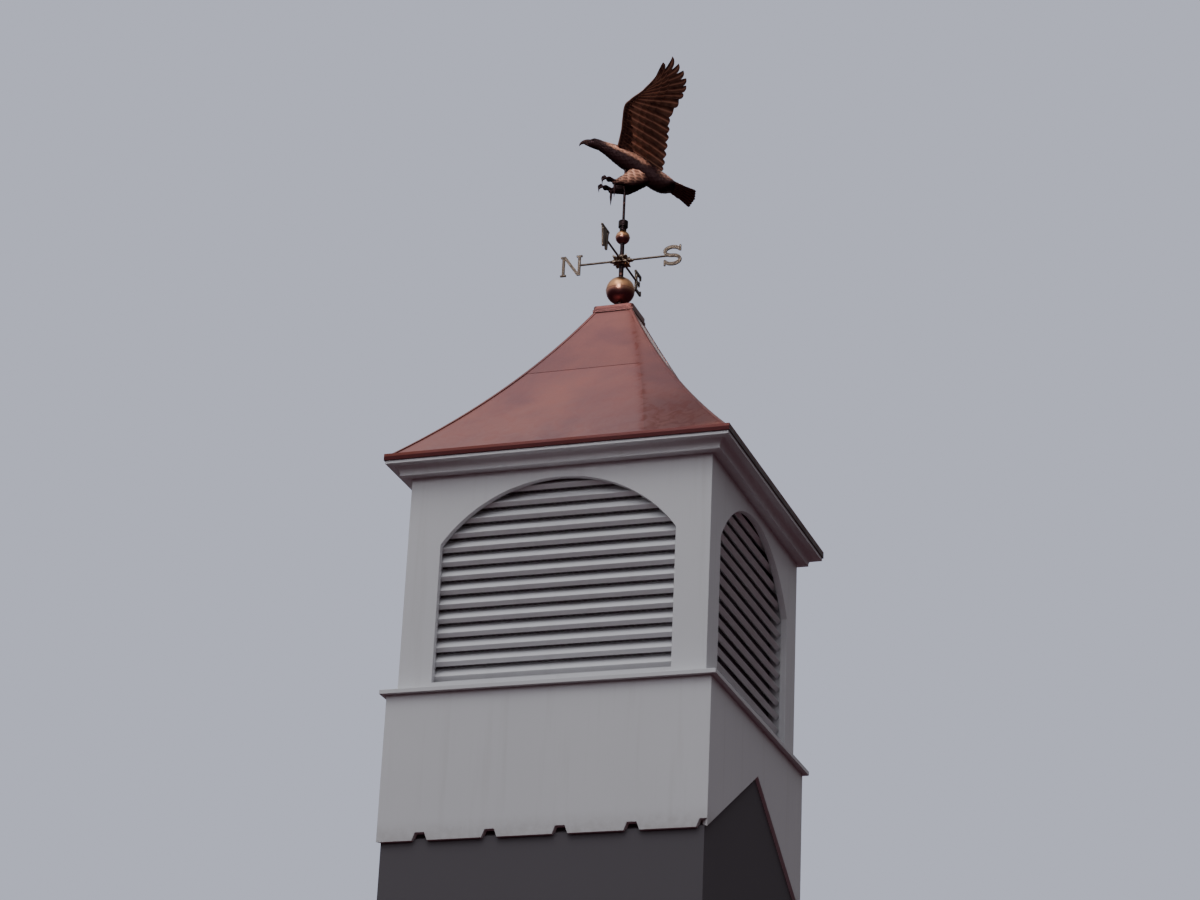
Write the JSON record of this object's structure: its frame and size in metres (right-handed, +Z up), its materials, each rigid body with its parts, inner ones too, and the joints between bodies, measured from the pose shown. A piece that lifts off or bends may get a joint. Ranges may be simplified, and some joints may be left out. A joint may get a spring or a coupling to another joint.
{
  "type": "garage cupola",
  "caption": "Square ridge cupola with a saddle cut base, arched louvres, crown moulding, swept copper hip roof, directional letters and a turning flying eagle vane.",
  "frame": {"origin": "middle of the square plan at the level of the lower base edge", "axes": "+Z up along the mast, -Y the front face over the eave, +X the right side where the ridge passes, north letter towards -X"},
  "size_m": [1.164, 1.164, 2.8071],
  "materials": {
    "white_trim": "satin white cellular vinyl trim board",
    "timber": "plain sawn softwood and plywood, hidden inside",
    "roof_copper": "mill finish copper sheet, lightly browned",
    "edge_copper": "folded copper drip edge, redder",
    "bright_copper": "spun copper ball with a soft shine",
    "aged_brass": "cast brass gone olive",
    "dark_rod": "dark bronzed rod and collar",
    "eagle_copper": "darkened stamped copper"
  },
  "bodies": {
    "cupola": {"front_roof": "roof_copper", "right_roof": "roof_copper", "back_roof": "roof_copper", "left_roof": "roof_copper", "base_front": "white_trim", "base_back": "white_trim", "base_left": "white_trim", "base_right": "white_trim", "front_sill": "white_trim", "front_panel": "white_trim", "front_louvre": "white_trim", "front_crown": "white_trim", "right_sill": "white_trim", "right_panel": "white_trim", "right_louvre": "white_trim", "right_crown": "white_trim", "back_sill": "white_trim", "back_panel": "white_trim", "back_louvre": "white_trim", "back_crown": "white_trim", "left_sill": "white_trim", "left_panel": "white_trim", "left_louvre": "white_trim", "left_crown": "white_trim", "louvre_stiles": "white_trim", "base_corner_posts": "timber", "top_plate": "timber", "peak_block": "timber", "drip_edge": "edge_copper", "roof_cap": "edge_copper", "mast": "dark_rod", "mast_collar": "dark_rod", "mast_ball": "bright_copper", "small_ball": "bright_copper", "directional_hub": "aged_brass", "arm_north": "aged_brass", "arm_south": "aged_brass", "arm_east": "aged_brass", "arm_west": "aged_brass"},
    "vane": {"vane_spindle": "dark_rod", "eagle_body": "eagle_copper", "eagle_left_wing": "eagle_copper", "eagle_right_wing": "eagle_copper", "eagle_tail": "eagle_copper", "eagle_legs": "eagle_copper"}
  },
  "joints": [
    {"name": "vane_spin", "type": "hinge", "parent": "cupola", "child": "vane", "pos_m": [0, 0, 2.3451], "axis": [0, 0, 1], "continuous": true}
  ]
}
